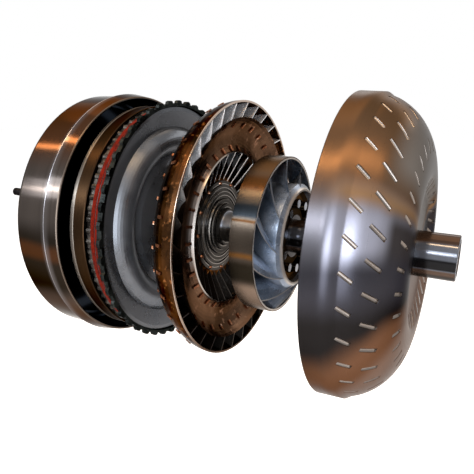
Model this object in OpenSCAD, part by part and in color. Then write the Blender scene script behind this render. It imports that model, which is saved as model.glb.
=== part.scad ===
// Lock-up torque converter, drawn pulled apart along its own axis.
// X runs along the axis from the engine side to the gearbox side. The origin
// is on the axis at the rear mounting face of the cover.

/* [Exploded layout] */
// Gap between the cover and the clutch piston
piston_gap = 7; // [2:0.5:20]
// Gap between the piston and the clutch stack
clutch_gap = 1.3; // [1:0.1:10]
// Gap between the clutch stack and the turbine hub
turbine_gap = 46.2; // [20:0.1:60]
// Gap between the turbine's open face and the stator band
stator_gap = 27.5; // [10:0.5:50]
// Gap between the stator band and the impeller's open rim
impeller_gap = 70.5; // [45:0.5:100]

/* [Cover] */
// Outer radius of the front band that enters the impeller
cover_r = 145.6; // [121:0.1:175]
// Length of the drum
cover_l = 58; // [48:0.1:70]
// Step between the two turned bands
cover_step = 2.6; // [1:0.2:4]
// Width of the front band
band_w = 15; // [12:1:20]
// How much the front band narrows towards its edge
band_taper = 2.8; // [0.5:0.1:3]
// Thickness of the end plate
plate_t = 5; // [3:0.5:6]
// Wall of the front band
cover_wall = 5; // [4.4:0.2:7]
// Wall of the crankshaft pilot round its bush
pilot_wall = 5; // [3:0.1:8]
// How far the pilot stands out
pilot_l = 12; // [6:1:20]
// Drive studs
stud_n = 4; // [3:1:6]
// How far the stud circle lies inside the rear edge
stud_inset = 10; // [8:0.5:30]
// Radius of a stud
stud_r = 4; // [3:0.5:6]
// Length of a stud
stud_l = 16; // [10:1:25]

/* [Lock-up clutch] */
// Length of the piston drum
piston_l = 18.7; // [15.5:0.1:23]
// Wall of the piston drum
piston_wall = 2; // [1.5:0.1:4]
// Room between the piston drum and the cover
drum_gap = 8.6; // [7.5:0.1:12]
// Sheet of the piston web
web_t = 2.5; // [1.5:0.1:3]
// Teeth of the outer drive plate
drive_teeth = 48; // [36:1:60]
// Teeth of the steel plate
steel_teeth = 72; // [60:1:90]
// Thickness of the steel plate
steel_t = 5.8; // [2:0.1:7]
// Thickness of each friction facing
facing_t = 4.6; // [2:0.1:5.6]
// Height of the damper bulge
bulge_h = 10; // [8:0.1:11]
// Damper springs
spring_n = 6; // [4:1:8]

/* [Turbine] */
// Room between the turbine rim and the cover wall
turbine_room = 0.4; // [0.3:0.1:3]
// Depth of the bowl
turbine_d = 41; // [34:0.1:50]
// Sheet of the bowl
turbine_t = 2; // [1.2:0.1:2.4]
// Turbine blades
turbine_blades_n = 33; // [21:1:37]
// Width of the passage between the rim and the core ring
passage = 17.7; // [12:0.1:22]
// Room between the core ring and the stator band
core_room = 0.9; // [0.5:0.1:4]
// Depth of the core ring's trough
core_depth = 11; // [6:0.5:13]
// Radius of the hub flange
flange_r = 52; // [46:1:56]

/* [Stator] */
// Outer radius of the band
stator_r = 83.7; // [69:0.1:90]
// Width of the band
stator_w = 25; // [20:0.1:30]
// Stator blades
stator_n = 11; // [7:1:14]
// Sweep of a blade's front edge from the band to the hub, in degrees
stator_sweep = 34; // [0:1:40]
// Outer radius of the hub ring
stator_hub_r = 56; // [46:0.1:67.2]
// How far the hub ring stands ahead of the band
stator_nose = 17; // [10:0.5:18]
// Rollers of the overrunning clutch
roller_n = 10; // [8:1:12]
// Wall between the stator hub and the freewheel
race_wall = 7; // [5:0.1:9]

/* [Impeller] */
// Room between the rim and the cover's front band
rim_room = 0.5; // [0.3:0.1:2]
// Depth of the shell to its crest
impeller_d = 71; // [59:0.1:86]
// Sheet of the shell
impeller_t = 3.5; // [2.5:0.1:4.2]
// Pressed slots in each row
slot_n = 33; // [21:1:37]
// Depth of a pressed slot
slot_depth = 1.4; // [0.6:0.1:1.8]
// Wall of the pump hub round the stator support
hub_wall = 3.7; // [3:0.1:6]
// Length of the pump hub outside the shell
hub_l = 37; // [25:0.5:50]

/* [Shaft] */
// Radius of the turbine shaft
shaft_r = 13; // [10.8:0.1:15.6]

/* [Hidden] */
run = 0.06;          // radial running clearance
seat = 0.05;         // radial clearance of fixed fits
skin = 0.3;          // blade edge to bowl
face_gap = 0.1;      // between plates that lie on each other
blade_t = 1.2;
core_edge = 11;      // how far the core's inner edge lies behind the face
core_t = 1.6;
$fn = 96;

// Radii that follow the shaft
bush_r = shaft_r + 2;
pilot_r = bush_r + pilot_wall;
spigot_r = pilot_r - 2;
sleeve_r = shaft_r + 4.8;     // stator support sleeve
hub_bore = sleeve_r + 0.5;
hub_r = hub_bore + hub_wall;
hub_neck = hub_r - 0.6;

// Radii that follow the cover
rear_r = cover_r - cover_step;
stud_circle = rear_r - stud_inset;
cavity_r = cover_r - cover_wall;
drum_r = cavity_r - drum_gap;
drum_in = drum_r - piston_wall;
turbine_r = cavity_r - turbine_room;
rim_edge = 0.4;      // extra wall at the impeller's open rim
impeller_r = cover_r + rim_room + impeller_t + rim_edge;

// Radii of the flow path
core_r = turbine_r - passage;
core_in = stator_r + core_room;
eye_r = stator_hub_r - 6.2;
bowl_c = (turbine_r + eye_r) / 2;     // where the bowl is deepest
torus_c = (impeller_r + 6) / 2;       // the same for the impeller shell

// Depths of the clutch stack, from its own start
core_sheet = 1;
facing1 = steel_t + face_gap;
disc_z = facing1 + facing_t;
facing2 = disc_z + core_sheet;
flange_t = 1.2;
drive_room = 2.4;    // between the last facing and the drive ring
drive_z = facing2 + facing_t + drive_room;
press_z = drive_z + flange_t + face_gap;
press_t = 3;
bulge_foot = 4.8;    // how far the pressure plate dips before its bulge

// Places along the axis
band_x = cover_l - band_w;
piston_x = cover_l + piston_gap;
clutch_x = piston_x + piston_l + clutch_gap;
turbine_x = clutch_x + press_z + press_t + turbine_gap + turbine_d;
stator_x = turbine_x + stator_gap + stator_w / 2;
impeller_x = stator_x + stator_w / 2 + impeller_gap;
torus_z = 10;
shoulder_z = 28;
floor_z = impeller_d - 6;
hub_end = floor_z + hub_l;
blade_face = 29;     // impeller blade edges behind its rim

// ---------- helpers ----------
// Turns a shape drawn along +Z so that it runs along +X from x.
module at(x) { translate([x, 0, 0]) rotate([0, 90, 0]) children(); }

module tube(r_out, r_in, z0, z1) {
  translate([0, 0, z0]) difference() {
    cylinder(r = r_out, h = z1 - z0);
    translate([0, 0, -1]) cylinder(r = r_in, h = z1 - z0 + 2);
  }
}

// Revolves a list of [z, r] points.
module turned(points) { rotate_extrude() polygon([for (p = points) [p[1], p[0]]]); }

// Points of an ellipse about [zc, rc], from angle a0 to a1, as [z, r].
function bow(zc, rc, az, ar, a0, a1, n) =
  [for (i = [0 : n]) let (a = a0 + (a1 - a0) * i / n) [zc + az * cos(a), rc + ar * sin(a)]];
function flip(list) = [for (i = [len(list) - 1 : -1 : 0]) list[i]];

// A ring of teeth: root and tip radius, with rounded flanks.
function tooth_ring(n, root, tip) = [for (i = [0 : n - 1], k = [0 : 5])
  let (a = 360 / n * (i + [0, 0.22, 0.30, 0.5, 0.70, 0.78][k] + 0.11),
       r = [root, root, tip - 0.7, tip, tip - 0.7, root][k])
  r * [cos(a), sin(a)]];

module toothed(n, root, tip, bore, t) {
  linear_extrude(t) difference() {
    polygon(tooth_ring(n, root, tip));
    circle(r = bore);
  }
}

// A curved sheet between two meridian curves a and b ([z, r] lists of one
// length), turned by turn[i] degrees at each step; b leads a by lean degrees.
module vane(a, b, turn, lean, t) {
  n = len(a);
  p = [for (i = [0 : n - 1], m = [[a[i], 0], [b[i], lean]], s = [-1, 1])
    let (r = m[0][1], w = turn[i] + m[1] + s * t / 2 / r * 57.3) [r * cos(w), r * sin(w), m[0][0]]];
  side = [for (i = [0 : n - 2]) let (q = 4 * i) each [
    [q, q + 4, q + 6], [q, q + 6, q + 2], [q + 1, q + 3, q + 7], [q + 1, q + 7, q + 5],
    [q, q + 1, q + 5], [q, q + 5, q + 4], [q + 2, q + 6, q + 7], [q + 2, q + 7, q + 3]]];
  e = 4 * (n - 1);
  polyhedron(p, concat(side, [[0, 2, 3], [0, 3, 1], [e, e + 1, e + 3], [e, e + 3, e + 2]]));
}

// ---------- cover ----------
module front_cover() {
  round_r = 5;         // rounding of the rear edge
  floor_round = 12;    // rounding inside the end plate
  color([0.36, 0.27, 0.22]) at(0) turned(concat(
    [[0, spigot_r + seat], [0, rear_r - round_r]],
    bow(round_r, rear_r - round_r, -round_r, round_r, 18, 90, 4),
    [[band_x - 1.5, rear_r], [band_x, cover_r], [cover_l - 0.8, cover_r - band_taper],
     [cover_l, cover_r - band_taper - 0.8], [cover_l, cavity_r]],
    flip(bow(plate_t + floor_round, cavity_r - 10, -floor_round, 10, 0, 90, 6)),
    [[plate_t, spigot_r + seat]]));
}

module crank_pilot() {
  color([0.5, 0.48, 0.46]) at(0) difference() {
    union() {
      translate([0, 0, -pilot_l + 1.5]) cylinder(r = pilot_r, h = pilot_l - 1.5);
      cylinder(r = spigot_r, h = plate_t);
      translate([0, 0, -pilot_l]) cylinder(r1 = pilot_r - 1.5, r2 = pilot_r, h = 1.5);
    }
    translate([0, 0, -pilot_l + 4]) cylinder(r = bush_r, h = pilot_l + plate_t);
  }
}

module drive_studs() {
  color([0.12, 0.12, 0.13]) for (i = [0 : stud_n - 1])
    rotate([160 + 360 / stud_n * i, 0, 0]) translate([0, stud_circle, 0]) at(-stud_l) {
      translate([0, 0, 1]) cylinder(r = stud_r, h = stud_l - 1, $fn = 24);
      cylinder(r1 = stud_r - 1, r2 = stud_r, h = 1, $fn = 24);
    }
}

module pilot_bush() {
  color([0.7, 0.5, 0.25]) at(0)
    tube(bush_r - seat, shaft_r + run, -pilot_l + 4.3, plate_t - 0.2);
}

// ---------- lock-up clutch ----------
piston_hub_r = shaft_r + 7;
module piston_hub() {
  color([0.5, 0.48, 0.46]) at(piston_x) tube(piston_hub_r, shaft_r + run, 0, web_t + 2);
}

module piston_drum() {
  lip = 0.8;
  root = 0.4;
  bore = piston_hub_r + run;
  color([0.33, 0.22, 0.12]) at(piston_x) turned([
    [0, bore], [0, drum_r - lip], [lip, drum_r], [4.4, drum_r], [4.8, drum_r - 0.4], [5.2, drum_r],
    [piston_l - lip, drum_r], [piston_l, drum_r - lip], [piston_l, drum_in + lip], [piston_l - lip, drum_in],
    [web_t + root, drum_in], [web_t, drum_in - root], [web_t, bore]]);
}

// The stack from its start: steel plate, facing, core, facing, drive ring, pressure plate.
lining_r = drum_in - 0.6;
lining_in = lining_r - 7;
drive_root = drum_r + 4;
drive_tip = cavity_r - 1.4;
press_r = drum_r - 0.3;
rim_in = press_r - 4;
bulge_out = press_r - 21.7;
bulge_in = bulge_out - 32;

module steel_plate() {
  color([0.45, 0.45, 0.44]) at(clutch_x)
    toothed(steel_teeth, lining_r - 1.4, lining_r + 0.2, lining_in, steel_t);
}

module friction_disc() {
  hub = shaft_r + 11;
  color([0.3, 0.3, 0.31]) at(clutch_x) union() {
    tube(lining_r - 0.3, hub - 2, disc_z, disc_z + core_sheet);
    tube(hub, shaft_r + run, 2, press_z - dish_depth - face_gap);
  }
}

module friction_facings() {
  color([0.62, 0.13, 0.05]) at(clutch_x) {
    tube(lining_r, lining_in, facing1, facing1 + facing_t);
    tube(lining_r, lining_in, facing2, facing2 + facing_t);
  }
}

// A toothed ring round the pressure plate, on a sleeve with a flange behind the plate.
module drive_plate() {
  sleeve_in = press_r + 1.2;
  ring_z = press_z + 1.9;
  ring_t = 4.3;
  color([0.2, 0.2, 0.2]) at(clutch_x) union() {
    translate([0, 0, ring_z]) toothed(drive_teeth, drive_root, drive_tip, sleeve_in, ring_t);
    tube(sleeve_in + 1.4, sleeve_in, drive_z, ring_z + 1);
    tube(sleeve_in + 1.4, rim_in + 1, drive_z, drive_z + flange_t);
  }
}

dish_depth = 2.2;
// Height of the pressure plate's face: flat rim, cone, bulge, then a dished middle.
function press_face(r) =
  r >= rim_in ? 0 :
  r >= bulge_out ? -bulge_foot * (rim_in - r) / (rim_in - bulge_out) :
  r >= bulge_in ? bulge_h * pow(sin(180 * (bulge_out - r) / (bulge_out - bulge_in)), 0.8) - bulge_foot :
  -bulge_foot + (bulge_foot - dish_depth) * (1 - cos(min(90, (bulge_in - r) * 9)));
bulge_steps = 14;
press_stations = concat([press_r, rim_in],
  [for (i = [0 : bulge_steps]) bulge_out - (bulge_out - bulge_in) * i / bulge_steps],
  [for (d = [2, 4, 6, 8, 10, 16]) bulge_in - d], [shaft_r + 11.5]);
module pressure_plate() {
  outer = [for (r = press_stations) [press_t + press_face(r), r]];
  color([0.36, 0.37, 0.4]) at(clutch_x + press_z) union() {
    turned(concat(outer, flip([for (p = outer) [p[0] - press_t, p[1]]])));
    tube(shaft_r + 12, shaft_r + run, -dish_depth, 6.4);
  }
}

module damper_springs() {
  spring_r = 5.1;
  spring_z = bulge_h - bulge_foot - spring_r - 0.7;
  color([0.6, 0.6, 0.62]) at(clutch_x + press_z) for (i = [0 : spring_n - 1])
    rotate([0, 0, 360 / spring_n * i]) rotate_extrude(angle = 270 / spring_n)
      translate([(bulge_out + bulge_in) / 2, spring_z]) circle(r = spring_r, $fn = 24);
}

// ---------- turbine ----------
bowl_ar = turbine_r - bowl_c;
eye_angle = -40;                 // where the bowl turns into the flat round the hub
neck_z = -turbine_d * cos(eye_angle) - 1;     // back of that flat
flat_r = bowl_c + bowl_ar * sin(eye_angle) - 6;
shell_bore = flange_r - 16;
module turbine_shell() {
  outer = bow(0, bowl_c, -turbine_d, bowl_ar, 90, eye_angle, 16);
  inner = bow(0, bowl_c, turbine_t - turbine_d, bowl_ar - turbine_t, 90, eye_angle, 16);
  color([0.5, 0.27, 0.12]) at(turbine_x) turned(concat(
    outer, [[neck_z, flat_r], [neck_z, shell_bore], [neck_z + turbine_t, shell_bore],
    [neck_z + turbine_t, flat_r]], flip(inner)));
}

// Meridian of the core ring at u = 0 (outer edge) to 1 (inner edge): a half oval trough.
core_a = 22;
function core_pt(u) = let (a = core_a + (180 - 2 * core_a) * u, mid = (core_r + core_in) / 2)
  [-core_edge * u - core_depth * (sin(a) - sin(core_a)) / (1 - sin(core_a)),
   mid + (core_r - mid) * cos(a) / cos(core_a)];
core_steps = 12;
core_pts = [for (i = [0 : core_steps]) core_pt(i / core_steps)];
module turbine_core() {
  color([0.42, 0.25, 0.15]) at(turbine_x) turned(concat(core_pts,
    flip([for (p = core_pts) [p[0] - core_t, p[1]]])));
}

blade_steps = 8;
function along(list, u) = let (x = u * (len(list) - 1), i = min(floor(x), len(list) - 2), f = x - i)
  list[i] * (1 - f) + list[i + 1] * f;
module turbine_blades() {
  flat_z = (turbine_t - turbine_d) * cos(eye_angle) + skin;
  wall = concat(
    bow(0, bowl_c, turbine_t + skin - turbine_d, bowl_ar - turbine_t - skin, 90, eye_angle, blade_steps - 2),
    [[flat_z, flat_r], [flat_z, flange_r + 1]]);
  core = [for (p = core_pts) [p[0] - core_t - 2 * skin, p[1]]];
  b = [for (i = [0 : blade_steps]) along(core, i / blade_steps)];
  turn = [for (i = [0 : blade_steps]) 28 * pow(i / blade_steps, 1.3)];
  color([0.72, 0.68, 0.64]) at(turbine_x) for (k = [0 : turbine_blades_n - 1])
    rotate([0, 0, 360 / turbine_blades_n * k]) vane(wall, b, turn, 4, blade_t);
}

// A blade's tab, folded flat on the sheet at p with the sheet's direction d ([z, r]).
module tab(p, d, lift, turn) {
  n = d / norm(d);
  rotate([0, 0, turn]) multmatrix([[n[1], 0, -n[0], p[1]], [0, 1, 0, 0], [n[0], 0, n[1], p[0]]])
    translate([-tab_l / 2, -tab_w / 2, lift]) cube([tab_l, tab_w, blade_t]);
}
tab_l = 6.5;
tab_w = 3;
module blade_tabs() {
  pitch = 360 / turbine_blades_n;
  color([0.72, 0.5, 0.36]) at(turbine_x) for (k = [0 : turbine_blades_n - 1]) {
    for (row = [[66, 0.16], [34, 0.42]]) {
      q = bow(0, bowl_c, -turbine_d, bowl_ar, row[0] - 1, row[0] + 1, 2);
      tab(q[1], q[0] - q[2], 0.05, pitch * (k + row[1]));
    }
    for (u = [0.26, 0.83])
      tab(core_pt(u), core_pt(u - 0.01) - core_pt(u + 0.01), 0.5, pitch * (k + 0.5));
  }
}

module turbine_hub() {
  z0 = neck_z + turbine_t;
  lug = shell_bore - 2;
  bore = shaft_r + run;
  back = -turbine_d - 1.2;
  color([0.3, 0.29, 0.29]) at(turbine_x) turned([
    [z0, lug], [z0, flange_r], [z0 + 2, flange_r], [z0 + 2, flange_r - 5], [z0 + 3.5, flange_r - 5],
    [z0 + 3.5, flange_r - 9], [z0 + 2.6, flange_r - 9], [z0 + 2.6, flange_r - 12], [z0 + 4.4, flange_r - 12],
    [z0 + 4.4, flange_r - 17], [z0 + 3.6, flange_r - 17], [z0 + 3.6, shaft_r + 19], [z0 + 6, shaft_r + 18],
    [z0 + 6, shaft_r + 14], [z0 + 9, shaft_r + 13], [z0 + 9, shaft_r + 9], [z0 + 12, shaft_r + 8],
    [z0 + 12, shaft_r + 4], [4, shaft_r + 4], [5, shaft_r + 3], [5, bore], [back, bore],
    [back, shaft_r + 11], [z0 - 4, shaft_r + 13], [z0 - 4, lug]]);
}

module hub_rivets() {
  z0 = neck_z + turbine_t + 2;
  color([0.6, 0.56, 0.5]) at(turbine_x) for (i = [0 : 11]) rotate([0, 0, 30 * i])
    translate([flange_r - 2.6, 0, z0]) cylinder(r1 = 2.2, r2 = 1.4, h = 1.6, $fn = 20);
}

// ---------- shaft ----------
module turbine_shaft() {
  x0 = -pilot_l + 5;
  x1 = impeller_x + hub_end - 1;
  color([0.55, 0.55, 0.56]) at(x0) union() {
    cylinder(r1 = shaft_r - 1, r2 = shaft_r, h = 1);
    translate([0, 0, 1]) cylinder(r = shaft_r, h = x1 - x0 - 1);
  }
}

// ---------- stator ----------
band_z = stator_w / 2;
hub_z0 = -band_z;
hub_z1 = band_z + stator_nose;
race_r = stator_hub_r - race_wall;
nose_fall = 5;       // how far back the hub ring's front edge is sloped
blade_phase = -15.3;

// Aerofoil section as [mm round the wheel, z]: it bends over towards its front edge.
foil_n = 7;
function foil(z0, z1, reach, thick) =
  [for (i = [0 : 2 * foil_n - 1]) let (u = i <= foil_n ? i / foil_n : (2 * foil_n - i) / foil_n,
     s = i <= foil_n ? -1 : 1, half = thick * (0.12 + 0.1 * u + 1.25 * sqrt(u) * (1 - u)) / 2)
   [reach * (pow(u, 1.7) - 1) + s * half, z0 + (z1 - z0) * u - (i == foil_n ? 0.4 : 0)]];
module stator_blade(r0, r1) {
  steps = 5;
  m = 2 * foil_n;
  section = [for (k = [0 : steps])
    let (f = k / steps, r = r0 + (r1 - r0) * f, front = band_z - 0.5 + (stator_nose + 1) * (1 - f))
    for (q = foil(-band_z + 1.2, min(front, hub_z1 - 0.5), 34 + 12 * f, 7 - f))
      let (w = q[0] / r * 57.3 + stator_sweep * (1 - f)) [r * cos(w), r * sin(w), q[1]]];
  skin_faces = [for (k = [0 : steps - 1], i = [0 : m - 1]) let (a = k * m + i, b = k * m + (i + 1) % m)
    each [[a, b + m, b], [a, a + m, b + m]]];
  end = concat([[0, 1, m - 1]], [for (i = [1 : foil_n - 1]) each
    (i < foil_n - 1 ? [[i, i + 1, m - i], [m - i, i + 1, m - i - 1]] : [[i, i + 1, m - i]])]);
  last = steps * m;
  faces = concat(skin_faces, end, [for (f = end) [f[0] + last, f[2] + last, f[1] + last]]);
  polyhedron(section, [for (f = faces) [f[0], f[2], f[1]]]);
}

module stator_wheel() {
  color([0.45, 0.46, 0.5]) at(stator_x) union() {
    tube(stator_r, stator_r - 2.7, -band_z, band_z);
    turned([[hub_z0, race_r], [hub_z0, stator_hub_r], [hub_z1 - nose_fall, stator_hub_r],
      [hub_z1, race_r + race_wall / 4], [hub_z1, race_r]]);
    for (k = [0 : stator_n - 1]) rotate([0, 0, 360 / stator_n * k + blade_phase])
      stator_blade(race_r + race_wall / 4, stator_r - 1.5);
  }
}

race_in = race_r - 9;
race_z1 = hub_z1 - 7;
roller_r = 4.4;
roller_out = 4;      // how far the rollers stand out of the outer race
inner_race_r = race_in - 2 * roller_r - 0.1;
module outer_race() {
  color([0.4, 0.26, 0.14]) at(stator_x) tube(race_r - seat, race_in, hub_z0, race_z1);
}

module overrun_rollers() {
  color([0.78, 0.78, 0.8]) at(stator_x) for (i = [0 : roller_n - 1]) rotate([0, 0, 360 / roller_n * i])
    translate([inner_race_r + 0.05 + roller_r, 0, hub_z0 + 4])
      cylinder(r = roller_r, h = race_z1 + roller_out - hub_z0 - 4, $fn = 32);
}

module inner_race() {
  color([0.66, 0.66, 0.68]) at(stator_x) tube(inner_race_r, sleeve_r + seat, hub_z0 + 1, race_z1 - 2);
}

module stator_sleeve() {
  sleeve_z0 = 6.5;
  sleeve_l = 58.5;
  color([0.62, 0.62, 0.64]) at(stator_x) tube(sleeve_r, shaft_r + run, sleeve_z0, sleeve_z0 + sleeve_l);
}

module race_retainer() {
  color([0.7, 0.7, 0.72]) at(stator_x)
    tube(sleeve_r + 5, sleeve_r + seat, race_z1 - 2 + face_gap, race_z1);
}

// ---------- impeller ----------
torus_az = impeller_d - torus_z;
shoulder_fall = 4;        // how much the shell draws in at the shoulder
torus_ar = (impeller_r - shoulder_fall - torus_c) / sin(torus_a(shoulder_z));
// Angle on the torus ellipse where z reaches a depth.
function torus_a(z) = acos((z - torus_z) / torus_az);
function torus_pts(t, n) = bow(torus_z, torus_c, torus_az - t, torus_ar - t, torus_a(shoulder_z), 0, n);
function recess_pt(u, t) =
  [floor_z - t + (impeller_d - floor_z) * (0.5 + 0.5 * cos(180 * u)), torus_c - 24 * u];
function recess(t) = [for (i = [1 : 6]) recess_pt(i / 6, t)];

// One pressed slot from p to q ([z, r] on the shell), turned by a and skewed along its length.
slot_r = 2.1;
module slot(p, q, a, skew) {
  lift = slot_r - slot_depth;
  d = q - p;
  n = [-d[1], d[0]] / norm(d) * lift;
  side = n[1] > 0 || n[0] > 0 ? 1 : -1;
  from = p + side * n;
  to = q + side * n;
  v = [to[1] * cos(skew) - from[1], to[1] * sin(skew), to[0] - from[0]];
  rotate([0, 0, a]) translate([from[1], 0, from[0]])
    rotate([0, acos(v[2] / norm(v)), atan2(v[1], v[0])]) cylinder(r = slot_r, h = norm(v), $fn = 24);
}
// Rows: angles on the ellipse where a slot starts and ends, first place round the shell, skew.
slot_rows = [[72, 61.5, -87.6, 3.2], [54.5, 41, -81.1, 4], [26, 15, -88.9, 2.5]];
module slots() {
  pitch = 360 / slot_n;
  for (k = [0 : slot_n - 1]) {
    for (row = slot_rows) {
      q = bow(torus_z, torus_c, torus_az, torus_ar, row[0], row[1], 1);
      slot(q[0], q[1], row[2] + pitch * k, row[3]);
    }
    slot(recess_pt(0.24, 0), recess_pt(0.78, 0), -84 + pitch * k, 9);
  }
}

module impeller_shell() {
  inner_rim = impeller_r - impeller_t - rim_edge;
  color([0.5, 0.48, 0.47]) at(impeller_x) difference() {
    turned(concat(
      [[0, inner_rim], [0, impeller_r - 0.6], [0.8, impeller_r], [shoulder_z - 4, impeller_r - 0.9],
       [shoulder_z - 2, impeller_r - 2.4]],
      torus_pts(0, 14), recess(0),
      [[floor_z, hub_neck + seat], [floor_z - impeller_t, hub_neck + seat]],
      flip(recess(impeller_t)), flip(torus_pts(impeller_t, 14)),
      [[shoulder_z - 3, inner_rim - 2.2], [shoulder_z - 5, inner_rim]]));
    slots();
  }
}

imp_core = [for (p = core_pts) [blade_face - p[0], p[1]]];
module impeller_core() {
  color([0.42, 0.25, 0.15]) at(impeller_x) turned(concat(imp_core,
    flip([for (p = imp_core) [p[0] + core_t, p[1]]])));
}

module impeller_blades() {
  a1 = torus_a(blade_face);
  gap = impeller_t + skin;
  wall = concat(bow(torus_z, torus_c, torus_az - gap, torus_ar - gap, a1, 0, 12),
    [for (p = recess(gap)) if (p[1] > torus_c - 14) p]);
  core = [for (p = imp_core) [p[0] + core_t + 2 * skin, p[1]]];
  a = [for (i = [0 : blade_steps]) along(wall, i / blade_steps)];
  b = [for (i = [0 : blade_steps]) along(core, i / blade_steps)];
  turn = [for (i = [0 : blade_steps]) 20 * pow(i / blade_steps, 1.5)];
  color([0.72, 0.68, 0.64]) at(impeller_x) for (k = [0 : slot_n - 1])
    rotate([0, 0, 360 / slot_n * k]) vane(a, b, turn, 0, blade_t);
}

foot_w = 12.6;
module impeller_hub() {
  z0 = floor_z - impeller_t;
  foot = hub_neck + foot_w;
  color([0.66, 0.66, 0.68]) at(impeller_x) turned([
    [z0 - 1.5, hub_bore], [z0 - 1.5, foot], [z0, foot], [z0, hub_neck], [floor_z, hub_neck],
    [floor_z, hub_r], [hub_end - 1, hub_r],
    [hub_end, hub_r - 1], [hub_end, hub_bore]]);
}

module hub_bush() {
  color([0.7, 0.5, 0.25]) at(impeller_x) tube(hub_bore - seat, shaft_r + run, hub_end - 10, hub_end - 1);
}

module rear_bearing() {
  z1 = floor_z - impeller_t - 1.5;
  color([0.7, 0.7, 0.72]) at(impeller_x) tube(hub_neck + foot_w - 1, hub_bore + 1, z1 - 1.8, z1 - 0.05);
}

front_cover();
crank_pilot();
drive_studs();
pilot_bush();
piston_hub();
piston_drum();
steel_plate();
friction_disc();
friction_facings();
drive_plate();
pressure_plate();
damper_springs();
turbine_shaft();
turbine_shell();
turbine_blades();
turbine_core();
blade_tabs();
turbine_hub();
hub_rivets();
stator_sleeve();
inner_race();
race_retainer();
stator_wheel();
outer_race();
overrun_rollers();
impeller_shell();
impeller_blades();
impeller_core();
impeller_hub();
hub_bush();
rear_bearing();
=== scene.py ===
import math

import bpy
from mathutils import Matrix, Quaternion, Vector


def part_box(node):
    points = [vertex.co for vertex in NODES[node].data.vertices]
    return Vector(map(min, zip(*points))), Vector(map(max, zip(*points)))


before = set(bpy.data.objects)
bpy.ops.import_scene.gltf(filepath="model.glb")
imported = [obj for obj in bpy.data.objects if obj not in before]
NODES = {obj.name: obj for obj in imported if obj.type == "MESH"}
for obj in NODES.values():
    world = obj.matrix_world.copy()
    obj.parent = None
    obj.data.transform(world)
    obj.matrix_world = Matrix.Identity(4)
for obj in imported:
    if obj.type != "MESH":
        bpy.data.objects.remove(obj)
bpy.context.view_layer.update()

# Places along the axis and radii that the finishes and the camera use, in metres. A pair is where
# an edge between two finishes begins and ends.
COVER_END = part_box("front_cover")[1][0]
COVER_STEP = COVER_END - 0.015
COVER_BORE = (0.1408, 0.1411)
COVER_FLOOR = (0.0045, 0.0049)
DRUM_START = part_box("piston_drum")[0][0]
TURBINE_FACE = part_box("turbine_shell")[1][0]
CORE_IN = 0.0846
HUB_NECK = (0.0182, 0.0192)
HUB_RING_PITCH = 0.0043
STATOR_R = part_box("stator_wheel")[1][2]
STATOR_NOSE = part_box("stator_wheel")[1][0]
RIM_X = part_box("impeller_shell")[0][0]
HUB_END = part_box("impeller_hub")[1][0]
SHAFT_SKIN = (0.0122, 0.0128)

# The stator blades' front edges lie on a slanted line: where it would cross the axis, and its slope.
EDGE_AXIS = STATOR_NOSE + 0.0295
EDGE_SLOPE = 0.5723

# The impeller shell's profile, with depths from its open rim: a rim band as far as the shoulder, an
# ellipse from there to the crest, then a dish. The band's skin lies outside BAND_SKIN from the axis.
BAND_SKIN = 0.1478
BAND_LEAN = 0.73
SHOULDER = 0.028
SHOULDER_FALL = 0.8
DOME_START, DOME_DEEP = 0.010, 0.061
DOME_MID, DOME_HIGH = 0.078, 0.07117
DOME_MEAN = 0.066
DISH_WIDE, DISH_DEEP = 0.024, 0.006

# Its skin and its pressed slots, as shares of the ellipse's size and as depths under the dish.
DOME_SKIN, DOME_SLOT = 0.992, (0.962, 0.9915)
DISH_SKIN, DISH_SLOT = 0.0004, (0.0004, 0.0022)


def tone(red, green, blue):
    """A colour given as screen values, as the shader's linear values."""
    return tuple((v / 255 / 12.92) if v < 11 else ((v / 255 + 0.055) / 1.055) ** 2.4
                 for v in (red, green, blue))


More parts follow.
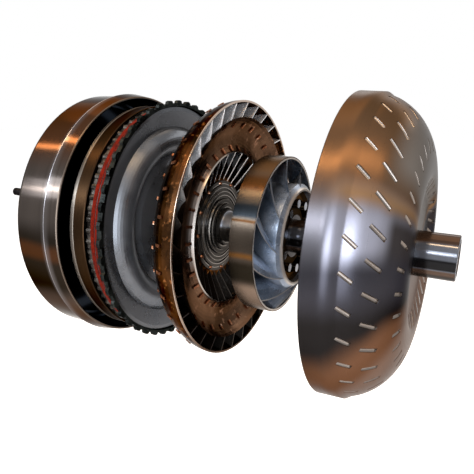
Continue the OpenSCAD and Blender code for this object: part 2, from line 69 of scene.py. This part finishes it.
# ---------- node helpers ----------
class Nodes:
    """Adds and joins shader nodes in one tree."""

    def __init__(self, tree):
        self.tree = tree

    def add(self, kind, **settings):
        node = self.tree.nodes.new(kind)
        for name, value in settings.items():
            setattr(node, name, value)
        return node

    def join(self, source, target):
        self.tree.links.new(source, target)

    def feed(self, value, socket):
        if isinstance(value, (int, float)):
            socket.default_value = value
        elif isinstance(value, tuple):
            socket.default_value = (*value, 1.0)
        else:
            self.join(value, socket)

    def math(self, operation, a, b=0.5, clamp=False):
        node = self.add("ShaderNodeMath", operation=operation, use_clamp=clamp)
        self.feed(a, node.inputs[0])
        self.feed(b, node.inputs[1])
        return node.outputs[0]

    def plus(self, a, b):
        return self.math("ADD", a, b)

    def minus(self, a, b):
        return self.math("SUBTRACT", a, b)

    def times(self, a, b):
        return self.math("MULTIPLY", a, b)

    def length(self, a, b):
        """The long side of the right angle a, b."""
        return self.math("SQRT", self.plus(self.times(a, a), self.times(b, b)))

    def ramp(self, value, low, high):
        """0 below low, 1 above high, smooth between."""
        node = self.add("ShaderNodeMapRange", interpolation_type="SMOOTHSTEP")
        node.inputs["From Min"].default_value = low
        node.inputs["From Max"].default_value = high
        self.join(value, node.inputs["Value"])
        return node.outputs["Result"]

    def fade(self, value, low, high):
        """1 below low, 0 above high, smooth between."""
        return self.minus(1.0, self.ramp(value, low, high))

    def between(self, value, low, high, soft):
        """1 between low and high, 0 outside, with soft ends."""
        return self.times(self.ramp(value, low - soft, low + soft),
                          self.fade(value, high - soft, high + soft))

    def within(self, value, low, high):
        """1 between low and high, 0 outside, with hard ends."""
        return self.times(self.math("GREATER_THAN", value, low), self.math("LESS_THAN", value, high))

    def lift(self, value, lowest):
        """Draws 0 up to lowest and leaves 1 as it is."""
        return self.plus(lowest, self.times(value, 1.0 - lowest))

    def mix(self, factor, a, b):
        """A colour between a and b."""
        node = self.add("ShaderNodeMix", data_type="RGBA")
        self.feed(factor, node.inputs["Factor"])
        self.feed(a, node.inputs[6])
        self.feed(b, node.inputs[7])
        return node.outputs[2]

    def blend(self, factor, a, b):
        """A number or direction between a and b."""
        if getattr(a, "type", "VALUE") == "VECTOR":
            kind, first, result = "VECTOR", 4, 1
        else:
            kind, first, result = "FLOAT", 2, 0
        node = self.add("ShaderNodeMix", data_type=kind)
        self.feed(factor, node.inputs[0])
        self.feed(a, node.inputs[first])
        self.feed(b, node.inputs[first + 1])
        return node.outputs[result]

    def spread(self, x, y, z):
        """A direction from three numbers."""
        node = self.add("ShaderNodeCombineXYZ")
        for value, socket in zip((x, y, z), node.inputs):
            self.feed(value, socket)
        return node.outputs[0]

    def noise(self, place, scale, detail=2.0, rough=0.5):
        node = self.add("ShaderNodeTexNoise")
        node.inputs["Detail"].default_value = detail
        node.inputs["Roughness"].default_value = rough
        self.feed(scale, node.inputs["Scale"])
        self.join(place, node.inputs["Vector"])
        return node.outputs["Fac"]

    def object_place(self):
        return self.add("ShaderNodeTexCoord").outputs["Object"]


def new_group(name, inputs, outputs):
    tree = bpy.data.node_groups.new(name, "ShaderNodeTree")
    for label, default in inputs:
        socket = tree.interface.new_socket(label, in_out="INPUT", socket_type="NodeSocketFloat")
        socket.default_value = default
    for label in outputs:
        tree.interface.new_socket(label, in_out="OUTPUT", socket_type="NodeSocketFloat")
    nodes = Nodes(tree)
    return tree, nodes, nodes.add("NodeGroupInput").outputs, nodes.add("NodeGroupOutput").inputs


def make_axis_group():
    """Place on a turned part: along the axis, out from it, and how high round it (-1 to 1)."""
    tree, nodes, _, out = new_group("turning_axis", [], ["Along", "Radius", "Height"])
    split = nodes.add("ShaderNodeSeparateXYZ")
    nodes.join(nodes.object_place(), split.inputs[0])
    radius = nodes.length(split.outputs["Y"], split.outputs["Z"])
    height = nodes.math("DIVIDE", split.outputs["Z"], nodes.math("MAXIMUM", radius, 0.001))
    nodes.join(split.outputs["X"], out["Along"])
    nodes.join(radius, out["Radius"])
    nodes.join(height, out["Height"])
    return tree


def make_lathe_group(axis):
    """Fine grooves left by turning, slow bands between them, and soft clouds of tint."""
    tree, nodes, given, out = new_group("lathe_lines", [("Pitch", 2600.0)], ["Lines", "Bands", "Clouds"])
    place = nodes.add("ShaderNodeGroup", node_tree=axis).outputs
    spot = nodes.spread(nodes.times(place["Along"], given["Pitch"]),
                        nodes.times(place["Radius"], given["Pitch"]),
                        nodes.times(place["Height"], 0.8))
    clouds = nodes.noise(nodes.object_place(), 7.0, 3.0)
    nodes.join(nodes.noise(spot, 1.0, 4.0), out["Lines"])
    nodes.join(nodes.noise(spot, 0.06), out["Bands"])
    nodes.join(nodes.ramp(clouds, 0.32, 0.68), out["Clouds"])
    return tree


def make_light_band_group(axis):
    """How high round a turned part, with a wandering edge for painted reflection and shade bands."""
    tree, nodes, given, out = new_group("light_band_level", [("Wander", 0.12)], ["Level"])
    place = nodes.add("ShaderNodeGroup", node_tree=axis).outputs
    noise = nodes.noise(nodes.object_place(), 9.0)
    drift = nodes.times(nodes.minus(noise, 0.5), given["Wander"])
    nodes.join(nodes.plus(place["Height"], drift), out["Level"])
    return tree


def make_mottle_group():
    """Stain, scale or braze: patches, small specks and a fine grain."""
    tree, nodes, given, out = new_group("mottle", [("Size", 40.0), ("Speck Size", 400.0)],
                                        ["Patches", "Specks", "Grain"])
    patches = nodes.noise(nodes.object_place(), given["Size"], 6.0, 0.62)
    grain = nodes.noise(nodes.object_place(), given["Speck Size"], 3.0, 0.62)
    nodes.join(nodes.ramp(patches, 0.36, 0.64), out["Patches"])
    nodes.join(nodes.ramp(grain, 0.57, 0.70), out["Specks"])
    nodes.join(grain, out["Grain"])
    return tree


AXIS = make_axis_group()
LATHE = make_lathe_group(AXIS)
LIGHT_BANDS = make_light_band_group(AXIS)
MOTTLE = make_mottle_group()


class Finish:
    """One material: a Principled shader with room for its pattern."""

    def __init__(self, name, metallic=1.0):
        self.material = bpy.data.materials.new(name)
        self.material.use_nodes = True
        tree = self.material.node_tree
        tree.nodes.clear()
        self.nodes = Nodes(tree)
        self.shader = self.nodes.add("ShaderNodeBsdfPrincipled")
        self.shader.inputs["Metallic"].default_value = metallic
        self.shader.inputs["Specular Tint"].default_value = (0.42, 0.42, 0.42, 1.0)
        output = self.nodes.add("ShaderNodeOutputMaterial")
        self.nodes.join(self.shader.outputs[0], output.inputs["Surface"])
        self.colour = None
        self.rough = None
        self.lean = None

    def group(self, tree, **values):
        node = self.nodes.add("ShaderNodeGroup", node_tree=tree)
        for name, value in values.items():
            node.inputs[name.replace("_", " ")].default_value = value
        return node.outputs

    def turned(self, dark, light, roughness, pitch=2600.0, shares=(0.5, 0.3, 0.5)):
        """Turned metal between two tones: grooves, bands and clouds in these shares."""
        nodes = self.nodes
        lathe = self.group(LATHE, Pitch=pitch)
        shade = nodes.times(lathe["Lines"], shares[0])
        shade = nodes.plus(shade, nodes.times(lathe["Bands"], shares[1]))
        shade = nodes.plus(shade, nodes.times(lathe["Clouds"], shares[2]))
        shade = nodes.math("SUBTRACT", shade, (shares[0] + shares[1]) / 4, clamp=True)
        self.colour = nodes.mix(shade, dark, light)
        self.rough = nodes.plus(roughness - 0.06, nodes.times(lathe["Lines"], 0.12))
        self.bump(lathe["Lines"], 0.25, 0.00004)
        return self

    def mottled(self, dark, mid, bright, roughness, size=30.0, speck=300.0, grain=0.3):
        """Stained or brazed metal: dark and mid patches with bright specks."""
        nodes = self.nodes
        mottle = self.group(MOTTLE, Size=size, Speck_Size=speck)
        self.colour = nodes.mix(mottle["Patches"], dark, mid)
        self.colour = nodes.mix(nodes.times(mottle["Specks"], 0.7), self.colour, bright)
        self.rough = nodes.plus(roughness - 0.08, nodes.times(mottle["Patches"], 0.16))
        self.bump(mottle["Grain"], grain, 0.0003)
        return self

    def over(self, mask, colour, roughness=None):
        """Lays another colour, and its roughness, where mask is 1."""
        self.colour = self.nodes.mix(mask, self.colour, colour)
        if roughness is not None:
            self.rough = self.nodes.blend(mask, self.rough, roughness)

    def paint_light_bands(self, *bands, wander=0.12, mask=1.0, slant=None):
        """Lays painted reflection and shade bands round the part by height: each is its low and high level,
        soft edge and colour.
        """
        level = self.group(LIGHT_BANDS, Wander=wander)["Level"]
        if slant:
            level = self.nodes.minus(level, slant)
        for low, high, soft, colour in bands:
            inside = self.nodes.between(level, low, high, soft)
            self.over(self.nodes.times(inside, mask), colour)

    def bump(self, height, strength, distance):
        node = self.nodes.add("ShaderNodeBump")
        node.inputs["Strength"].default_value = strength
        node.inputs["Distance"].default_value = distance
        self.lean = node.inputs["Normal"]
        self.nodes.join(height, node.inputs["Height"])
        self.nodes.join(node.outputs[0], self.shader.inputs["Normal"])

    def dress(self, *names):
        self.nodes.join(self.colour, self.shader.inputs["Base Color"])
        self.nodes.join(self.rough, self.shader.inputs["Roughness"])
        for name in names:
            mesh = NODES[name].data
            mesh.materials.clear()
            mesh.materials.append(self.material)


def dress_cover():
    cover = Finish("cover_steel").turned(tone(52, 47, 44), tone(88, 80, 75), 0.13,
                                         shares=(0.7, 0.3, 0.4))
    nodes = cover.nodes
    place = cover.group(AXIS)
    along = place["Along"]
    # Painted reflection and shade bands by height on the outer skin: brown at the top, dark through the
    # middle with a brown streak, brown lower down.
    cover.paint_light_bands((0.6, 1.1, 0.12, tone(78, 52, 36)), (-0.44, 0.1, 0.1, tone(32, 27, 22)),
                 (-0.14, -0.02, 0.04, tone(58, 36, 22)), (-1.1, -0.5, 0.12, tone(76, 60, 50)),
                 mask=nodes.ramp(place["Radius"], 0.115, 0.145))
    # Painted highlight: a pale band beside the step, and a bright line on the step that has painted shade
    # towards the bottom.
    step_highlight = nodes.between(along, COVER_STEP - 0.005, COVER_STEP + 0.004, 0.003)
    cover.over(nodes.times(step_highlight, 0.35), tone(112, 108, 108))
    line = nodes.between(along, COVER_STEP - 0.0017, COVER_STEP + 0.0006, 0.0003)
    shown = nodes.lift(nodes.ramp(place["Height"], -0.3, 0.05), 0.25)
    cover.over(nodes.times(line, shown), tone(168, 166, 172), 0.3)
    edge = nodes.between(along, COVER_END - 0.0009, COVER_END + 0.001, 0.0002)
    cover.over(edge, tone(84, 74, 66), 0.3)
    # Painted shade: the inside of the cover is darkened nearly black.
    shaded_hollow = nodes.times(nodes.fade(place["Radius"], *COVER_BORE), nodes.ramp(along, *COVER_FLOOR))
    cover.over(shaded_hollow, tone(24, 28, 34), 0.12)
    cover.dress("front_cover")

    pilot = Finish("pilot_steel").turned(tone(120, 112, 104), tone(165, 158, 150), 0.28)
    pilot.dress("crank_pilot", "piston_hub")
    stud = Finish("black_oxide").mottled(tone(18, 17, 17), tone(30, 28, 28), tone(60, 56, 54), 0.35, 90.0)
    stud.dress("drive_studs")
    bush = Finish("bearing_bronze").turned(tone(150, 110, 62), tone(196, 152, 92), 0.3)
    bush.dress("pilot_bush", "hub_bush")


def dress_clutch():
    drum = Finish("piston_brown").turned(tone(31, 22, 14), tone(52, 37, 24), 0.3)
    along = drum.group(AXIS)["Along"]
    drum.over(drum.nodes.between(along, DRUM_START - 0.001, DRUM_START + 0.0046, 0.0002),
              tone(118, 111, 104), 0.3)
    drum.dress("piston_drum")

    stamped = Finish("stamped_steel").mottled(tone(32, 30, 28), tone(78, 74, 70), tone(120, 114, 108),
                                              0.4, 90.0, 700.0, 0.5)
    stamped.dress("steel_plate")
    disc = Finish("core_steel").mottled(tone(45, 45, 46), tone(70, 69, 70), tone(96, 94, 92), 0.4, 60.0)
    disc.dress("friction_disc")
    facing = Finish("friction_red", 0.0).mottled(tone(72, 12, 4), tone(102, 20, 7), tone(126, 36, 18),
                                                 0.75, 160.0, 1500.0, 0.5)
    facing.shader.inputs["Specular IOR Level"].default_value = 0.1
    facing.dress("friction_facings")
    toothed = Finish("dark_phosphate").mottled(tone(20, 22, 22), tone(42, 45, 44), tone(72, 74, 70),
                                               0.4, 70.0, 800.0)
    toothed.dress("drive_plate")
    pressed = Finish("grey_phosphate", 0.75).mottled(
        tone(84, 86, 90), tone(103, 105, 109), tone(125, 126, 128), 0.3, 14.0, 1400.0, 0.12)
    pressed.dress("pressure_plate")
    spring = Finish("spring_steel").turned(tone(110, 110, 114), tone(160, 160, 164), 0.25)
    spring.dress("damper_springs")


def dress_turbine():
    shell = Finish("brazed_bronze").mottled(tone(32, 21, 12), tone(70, 44, 24), tone(142, 92, 54),
                                            0.28, 24.0, 150.0, 0.35)
    nodes = shell.nodes
    place = shell.group(AXIS)
    # The cut face of the rim is bare pale steel, with painted shade that dims it towards the bottom.
    face = nodes.ramp(place["Along"], TURBINE_FACE - 0.0007, TURBINE_FACE - 0.0003)
    bright = nodes.lift(nodes.ramp(place["Height"], -0.8, -0.2), 0.12)
    shell.over(nodes.times(face, bright), tone(196, 178, 164), 0.3)
    shell.dress("turbine_shell")

    core = Finish("core_bronze").mottled(tone(62, 45, 34), tone(102, 76, 58), tone(134, 100, 80),
                                         0.3, 16.0, 120.0, 0.2)
    nodes = core.nodes
    radius = core.group(AXIS)["Radius"]
    # Painted reflection: a pale silvery sheen inside the eye, from just below the middle up to near the
    # top.
    sheen = nodes.fade(radius, CORE_IN + 0.003, CORE_IN + 0.009)
    core.paint_light_bands((-0.2, 0.75, 0.15, tone(146, 140, 136)), mask=nodes.times(sheen, 0.75))
    # Painted highlight: a bright line round the eye's lip.
    core.over(nodes.fade(radius, CORE_IN + 0.0006, CORE_IN + 0.0012), tone(150, 144, 138), 0.22)
    core.dress("turbine_core", "impeller_core")

    tab = Finish("tab_copper").mottled(tone(84, 52, 36), tone(128, 84, 60), tone(206, 176, 154), 0.3, 160.0)
    tab.dress("blade_tabs", "hub_rivets")
    blade = Finish("blade_sheet", 0.8).mottled(
        tone(132, 124, 116), tone(176, 170, 162), tone(220, 214, 208), 0.25, 14.0, 240.0, 0.12)
    # Painted shade on the lower blades and a painted highlight on the upper ones.
    blade.paint_light_bands((-1.1, 0.4, 0.22, tone(34, 25, 18)), (0.5, 1.1, 0.2, tone(232, 230, 230)))
    blade.dress("turbine_blades", "impeller_blades")

    hub = Finish("hub_dark", 0.9).turned(tone(34, 32, 30), tone(78, 74, 70), 0.16, 1500.0,
                                         shares=(0.8, 0.8, 0.2))
    nodes = hub.nodes
    place = hub.group(AXIS)
    # Painted highlights: thin bright rings at a fixed pitch across the hub.
    rings = nodes.math("SINE", nodes.times(place["Radius"], 2 * math.pi / HUB_RING_PITCH))
    hub.over(nodes.ramp(rings, 0.8, 0.96), tone(150, 144, 138), 0.2)
    # Painted highlight along the top of the neck.
    neck = nodes.times(nodes.fade(place["Radius"], *HUB_NECK), nodes.ramp(place["Height"], 0.1, 0.4))
    hub.over(neck, tone(190, 192, 198), 0.35)
    hub.dress("turbine_hub")


def dress_stator():
    cast = Finish("cast_aluminium").mottled(tone(104, 116, 132), tone(160, 170, 186),
                                            tone(206, 210, 218), 0.3, 24.0, 900.0, 0.15)
    nodes = cast.nodes
    place = cast.group(AXIS)
    clouds = cast.group(LATHE)["Clouds"]
    front = nodes.minus(EDGE_AXIS, nodes.times(place["Radius"], EDGE_SLOPE))
    front = nodes.math("MINIMUM", front, STATOR_NOSE - 0.0005)
    behind = nodes.minus(front, place["Along"])
    # Painted shade: the blades darken the further they lie behind their front edges.
    cast.over(nodes.times(nodes.ramp(behind, 0.008, 0.024), 0.86), tone(36, 40, 48), 0.4)
    # Painted highlight along the blades' front edges.
    cast.over(nodes.fade(behind, 0.0006, 0.0016), tone(196, 188, 180), 0.3)
    band = nodes.ramp(place["Radius"], STATOR_R - 0.0011, STATOR_R - 0.0006)
    cast.over(band, nodes.mix(clouds, tone(50, 43, 37), tone(76, 68, 60)), 0.26)
    # Painted reflection and shade bands by height round the outer band.
    cast.paint_light_bands((0.86, 1.1, 0.05, tone(80, 62, 46)), (0.72, 0.84, 0.04, tone(84, 54, 28)),
                (0.42, 0.57, 0.03, tone(34, 38, 42)), (0.37, 0.40, 0.015, tone(50, 32, 16)),
                (-0.05, 0.01, 0.03, tone(92, 62, 32)), (-0.34, -0.1, 0.05, tone(30, 26, 20)),
                (-1.1, -0.4, 0.06, tone(112, 96, 84)), mask=band)
    nodes.join(nodes.lift(band, 0.55), cast.shader.inputs["Metallic"])
    cast.dress("stator_wheel")

    Finish("straw_brown").turned(tone(66, 44, 24), tone(112, 80, 48), 0.25).dress("outer_race")
    bearing = Finish("bearing_steel").turned(tone(150, 152, 158), tone(200, 202, 208), 0.12)
    bearing.dress("overrun_rollers", "rear_bearing")
    Finish("race_steel").turned(tone(38, 30, 22), tone(74, 58, 42), 0.3).dress("inner_race")
    Finish("ring_steel").turned(tone(88, 86, 86), tone(140, 138, 138), 0.25).dress("race_retainer")


def spun_dome(finish):
    """Where the impeller's outer skin is, the smooth lie of it, and where the pressed slots are."""
    nodes = finish.nodes
    place = finish.group(AXIS)
    spot = nodes.add("ShaderNodeSeparateXYZ")
    nodes.join(nodes.object_place(), spot.inputs[0])
    radius = place["Radius"]
    deep = nodes.minus(place["Along"], RIM_X)
    across = nodes.math("DIVIDE", nodes.minus(deep, DOME_START), DOME_DEEP)
    out = nodes.math("DIVIDE", nodes.minus(radius, DOME_MID), DOME_HIGH)
    swell = nodes.length(across, out)
    # The dished middle: a wave from the crest down to the floor.
    dip = nodes.math("MULTIPLY", nodes.minus(DOME_MID, radius), 1 / DISH_WIDE, clamp=True)
    turn = nodes.times(dip, math.pi)
    floor = nodes.plus(nodes.times(nodes.math("COSINE", turn), DISH_DEEP / 2),
                       DOME_START + DOME_DEEP - DISH_DEEP / 2)
    below = nodes.minus(floor, deep)
    # How the skin leans along the axis and outwards, on each of the three stretches.
    domed = nodes.ramp(deep, SHOULDER - 0.0005, SHOULDER + 0.003)
    dished = nodes.math("LESS_THAN", radius, DOME_MID)
    band_x = nodes.times(nodes.ramp(deep, 0.009, SHOULDER - 0.001), BAND_LEAN)
    dish_r = nodes.times(nodes.math("SINE", turn), -math.pi * DISH_DEEP / 2 / DISH_WIDE)
    lean_x = nodes.blend(domed, band_x, nodes.times(across, DOME_MEAN / DOME_DEEP))
    lean_x = nodes.blend(dished, lean_x, 1.0)
    lean_r = nodes.blend(domed, 1.0, nodes.times(out, DOME_MEAN / DOME_HIGH))
    lean_r = nodes.math("DIVIDE", nodes.blend(dished, lean_r, dish_r), radius)
    lie = nodes.spread(lean_x, nodes.times(spot.outputs["Y"], lean_r),
                       nodes.times(spot.outputs["Z"], lean_r))
    unit = nodes.add("ShaderNodeVectorMath", operation="NORMALIZE")
    nodes.join(lie, unit.inputs[0])
    world = nodes.add("ShaderNodeVectorTransform", vector_type="NORMAL",
                      convert_from="OBJECT", convert_to="WORLD")
    nodes.join(unit.outputs[0], world.inputs[0])
    # The outer skin, left out in the slots and on the inside.
    past_band = nodes.math("MAXIMUM", nodes.minus(deep, SHOULDER - 0.004), 0.0)
    wall = nodes.minus(BAND_SKIN, nodes.times(past_band, SHOULDER_FALL))
    band_skin = nodes.times(nodes.math("GREATER_THAN", radius, wall),
                            nodes.math("GREATER_THAN", deep, 0.001))
    dome_skin = nodes.math("GREATER_THAN", swell, DOME_SKIN)
    dish_skin = nodes.math("LESS_THAN", nodes.math("ABSOLUTE", below), DISH_SKIN)
    past_shoulder = nodes.math("GREATER_THAN", deep, SHOULDER)
    skin = nodes.blend(past_shoulder, band_skin, dome_skin)
    skin = nodes.blend(dished, skin, dish_skin)
    dome_slot = nodes.times(nodes.within(swell, *DOME_SLOT), past_shoulder)
    slots = nodes.blend(dished, dome_slot, nodes.within(below, *DISH_SLOT))
    return skin, world.outputs[0], slots


def dress_impeller():
    shell = Finish("shell_steel").turned(tone(94, 93, 100), tone(136, 135, 145), 0.3,
                                         shares=(0.25, 0.15, 0.6))
    nodes = shell.nodes
    deep = nodes.minus(shell.group(AXIS)["Along"], RIM_X)
    # Painted shade: the rim band is darker near the open rim.
    shell.over(nodes.fade(deep, 0.010, 0.026), tone(78, 77, 82))
    # Painted reflections, brown and grey towards the top, then painted bright and dark patches at the
    # middle of the dome.
    shell.paint_light_bands((0.56, 1.1, 0.12, tone(94, 71, 52)), wander=0.3)
    shell.paint_light_bands((0.51, 0.60, 0.05, tone(136, 106, 78)), wander=0.2, mask=nodes.ramp(deep, 0.008, 0.030))
    shell.paint_light_bands((0.70, 1.1, 0.08, tone(124, 116, 109)), wander=0.3, mask=nodes.ramp(deep, 0.045, 0.064))
    shell.paint_light_bands((0.2, 0.5, 0.08, tone(152, 152, 165)), wander=0.3,
                 mask=nodes.between(deep, 0.034, 0.053, 0.005))
    shell.paint_light_bands((-0.3, 0.5, 0.1, tone(60, 56, 56)), wander=0.3, mask=nodes.ramp(deep, 0.054, 0.061))
    # Painted shade below the middle, then a painted brown reflection, which reaches higher the deeper it
    # lies.
    shell.paint_light_bands((-0.9, 0.2, 0.11, tone(52, 51, 56)), (-0.9, -0.12, 0.12, tone(31, 29, 29)), wander=0.4)
    slant = nodes.math("MAXIMUM", nodes.times(nodes.minus(deep, 0.017), 4.2), 0.0)
    shell.paint_light_bands((-1.6, -0.50, 0.1, tone(98, 70, 53)), (-1.6, -0.74, 0.1, tone(122, 100, 88)),
                 wander=0.5, slant=slant)
    skin, lie, slots = spun_dome(shell)
    true_lie = nodes.add("ShaderNodeNewGeometry").outputs["Normal"]
    nodes.join(nodes.blend(skin, true_lie, lie), shell.lean)
    # Painted highlight: the pressed slots are lighter than the skin round them.
    shell.over(slots, tone(122, 114, 108), 0.3)
    shell.dress("impeller_shell")

    ground = Finish("ground_steel", 0.65).turned(tone(80, 82, 88), tone(118, 121, 129), 0.12,
                                                 shares=(0.5, 0.2, 0.3))
    side = ground.nodes.math("LESS_THAN", ground.group(AXIS)["Along"], HUB_END - 0.0005)
    # Painted reflection and shade bands by height on the hub's side: brown at the top, dark through the
    # middle, tan lower down, darker brown at the bottom.
    ground.paint_light_bands((0.74, 1.1, 0.06, tone(68, 50, 38)), (-0.34, 0.12, 0.05, tone(22, 21, 22)),
                  (-1.1, -0.38, 0.04, tone(78, 61, 50)), (-1.1, -0.62, 0.06, tone(42, 35, 30)),
                  wander=0.06, mask=side)
    ground.dress("impeller_hub", "stator_sleeve")
    spindle = Finish("spindle_steel", 0.35).turned(tone(132, 132, 138), tone(178, 178, 186), 0.2)
    side = spindle.nodes.ramp(spindle.group(AXIS)["Radius"], *SHAFT_SKIN)
    # Painted reflection and shade: brown at the top, dark from the middle down.
    spindle.paint_light_bands((0.8, 1.1, 0.08, tone(96, 66, 46)), (-1.1, 0.2, 0.12, tone(44, 36, 30)),
                   wander=0.06, mask=side)
    spindle.dress("turbine_shaft")


# ---------- camera, lights and stage ----------
def place_camera():
    """The axis runs away to the left, seen from a little above its right-hand end."""
    data = bpy.data.cameras.new("camera")
    data.sensor_width = 36.0
    data.lens = 37.83
    data.clip_start = 0.01
    camera = bpy.data.objects.new("camera", data)
    bpy.context.scene.collection.objects.link(camera)
    yaw, pitch = math.radians(27.55), math.radians(16.43)
    forward = Vector((-math.sin(yaw) * math.cos(pitch), math.cos(yaw) * math.cos(pitch), -math.sin(pitch)))
    right = Vector((math.cos(yaw), math.sin(yaw), 0.0))
    turn = Matrix((right, right.cross(forward), -forward)).transposed().to_4x4()
    camera.matrix_world = Matrix.Translation((RIM_X + 0.122, -0.483, 0.150)) @ turn
    bpy.context.scene.camera = camera


def panel_light(name, place, aim, size, radiance, colour=(1.0, 1.0, 1.0), spin=0.0):
    """A flat lamp whose face is this bright, out of the camera's sight."""
    data = bpy.data.lights.new(name, "AREA")
    data.shape = "RECTANGLE"
    data.size, data.size_y = size
    data.energy = radiance * math.pi * size[0] * size[1]
    data.color = colour
    lamp = bpy.data.objects.new(name, data)
    bpy.context.scene.collection.objects.link(lamp)
    lamp.visible_camera = False
    lamp.location = place
    direction = Vector(aim) - Vector(place)
    turn = direction.to_track_quat("-Z", "Y") @ Quaternion((0.0, 0.0, 1.0), math.radians(spin))
    lamp.rotation_euler = turn.to_euler()


def seen_directly(nodes):
    """1 for what the camera, a gloss or glass sees."""
    path = nodes.add("ShaderNodeLightPath").outputs
    seen = nodes.math("MAXIMUM", path["Is Camera Ray"], path["Is Glossy Ray"])
    return nodes.math("MAXIMUM", seen, path["Is Transmission Ray"])


def make_floor(height):
    bpy.ops.object.select_all(action="DESELECT")
    bpy.ops.mesh.primitive_plane_add(size=12.0, location=(0.2, 0.0, height))
    floor = bpy.context.object
    floor.name = "floor"
    material = bpy.data.materials.new("pale_floor")
    material.use_nodes = True
    tree = material.node_tree
    tree.nodes.clear()
    nodes = Nodes(tree)
    matt = nodes.add("ShaderNodeBsdfDiffuse")
    matt.inputs["Color"].default_value = (0.8, 0.8, 0.8, 1.0)
    glow = nodes.add("ShaderNodeEmission")
    nodes.join(nodes.times(seen_directly(nodes), 0.86), glow.inputs["Strength"])
    both = nodes.add("ShaderNodeAddShader")
    nodes.join(matt.outputs[0], both.inputs[0])
    nodes.join(glow.outputs[0], both.inputs[1])
    output = nodes.add("ShaderNodeOutputMaterial")
    nodes.join(both.outputs[0], output.inputs["Surface"])
    floor.data.materials.append(material)


def make_world():
    world = bpy.data.worlds.new("studio")
    bpy.context.scene.world = world
    world.use_nodes = True
    tree = world.node_tree
    tree.nodes.clear()
    nodes = Nodes(tree)
    soft = nodes.add("ShaderNodeBackground")
    soft.inputs["Color"].default_value = (0.9, 0.93, 1.0, 1.0)
    soft.inputs["Strength"].default_value = 0.2
    white = nodes.add("ShaderNodeBackground")
    white.inputs["Color"].default_value = (1.0, 1.0, 1.0, 1.0)
    choose = nodes.add("ShaderNodeMixShader")
    nodes.join(seen_directly(nodes), choose.inputs["Fac"])
    nodes.join(soft.outputs[0], choose.inputs[1])
    nodes.join(white.outputs[0], choose.inputs[2])
    output = nodes.add("ShaderNodeOutputWorld")
    nodes.join(choose.outputs[0], output.inputs["Surface"])


def make_stage():
    make_floor(-0.42)
    make_world()
    # Each lamp: where it hangs, what it faces, its width and height, and its brightness.
    cool, warm = (0.84, 0.91, 1.0), (1.0, 0.66, 0.34)
    panel_light("cool_panel", (-0.55, -1.3, 0.72), (-0.55, 0.0, 0.05), (2.0, 0.42), 6.5, cool)
    panel_light("white_tube", (-0.55, -1.25, 0.66), (-0.55, 0.0, 0.05), (1.8, 0.08), 19.0)
    panel_light("warm_tube", (-0.45, -0.44, 1.2), (-0.45, 0.0, 0.05), (1.9, 0.1), 19.0, warm)
    panel_light("warm_panel", (-0.4, 0.65, 1.2), (-0.4, 0.0, 0.1), (1.9, 0.9), 1.1, warm)
    panel_light("right_panel", (1.0, -1.3, 0.05), (0.12, 0.0, 0.0), (0.7, 1.0), 8.0, cool)
    panel_light("dome_panel", (1.15, -1.3, 0.75), (1.15, 0.0, 0.2), (1.1, 0.6), 2.7, cool)
    panel_light("dome_warm", (1.08, -0.12, 1.2), (1.08, -0.119, 0.0), (1.35, 0.3), 6.0, warm, 26.0)
    panel_light("back_panel", (0.2, 1.3, 0.7), (0.2, 0.0, 0.0), (1.6, 0.3), 3.0)


dress_cover()
dress_clutch()
dress_turbine()
dress_stator()
dress_impeller()
place_camera()
make_stage()

bpy.context.scene.view_settings.view_transform = "Standard"
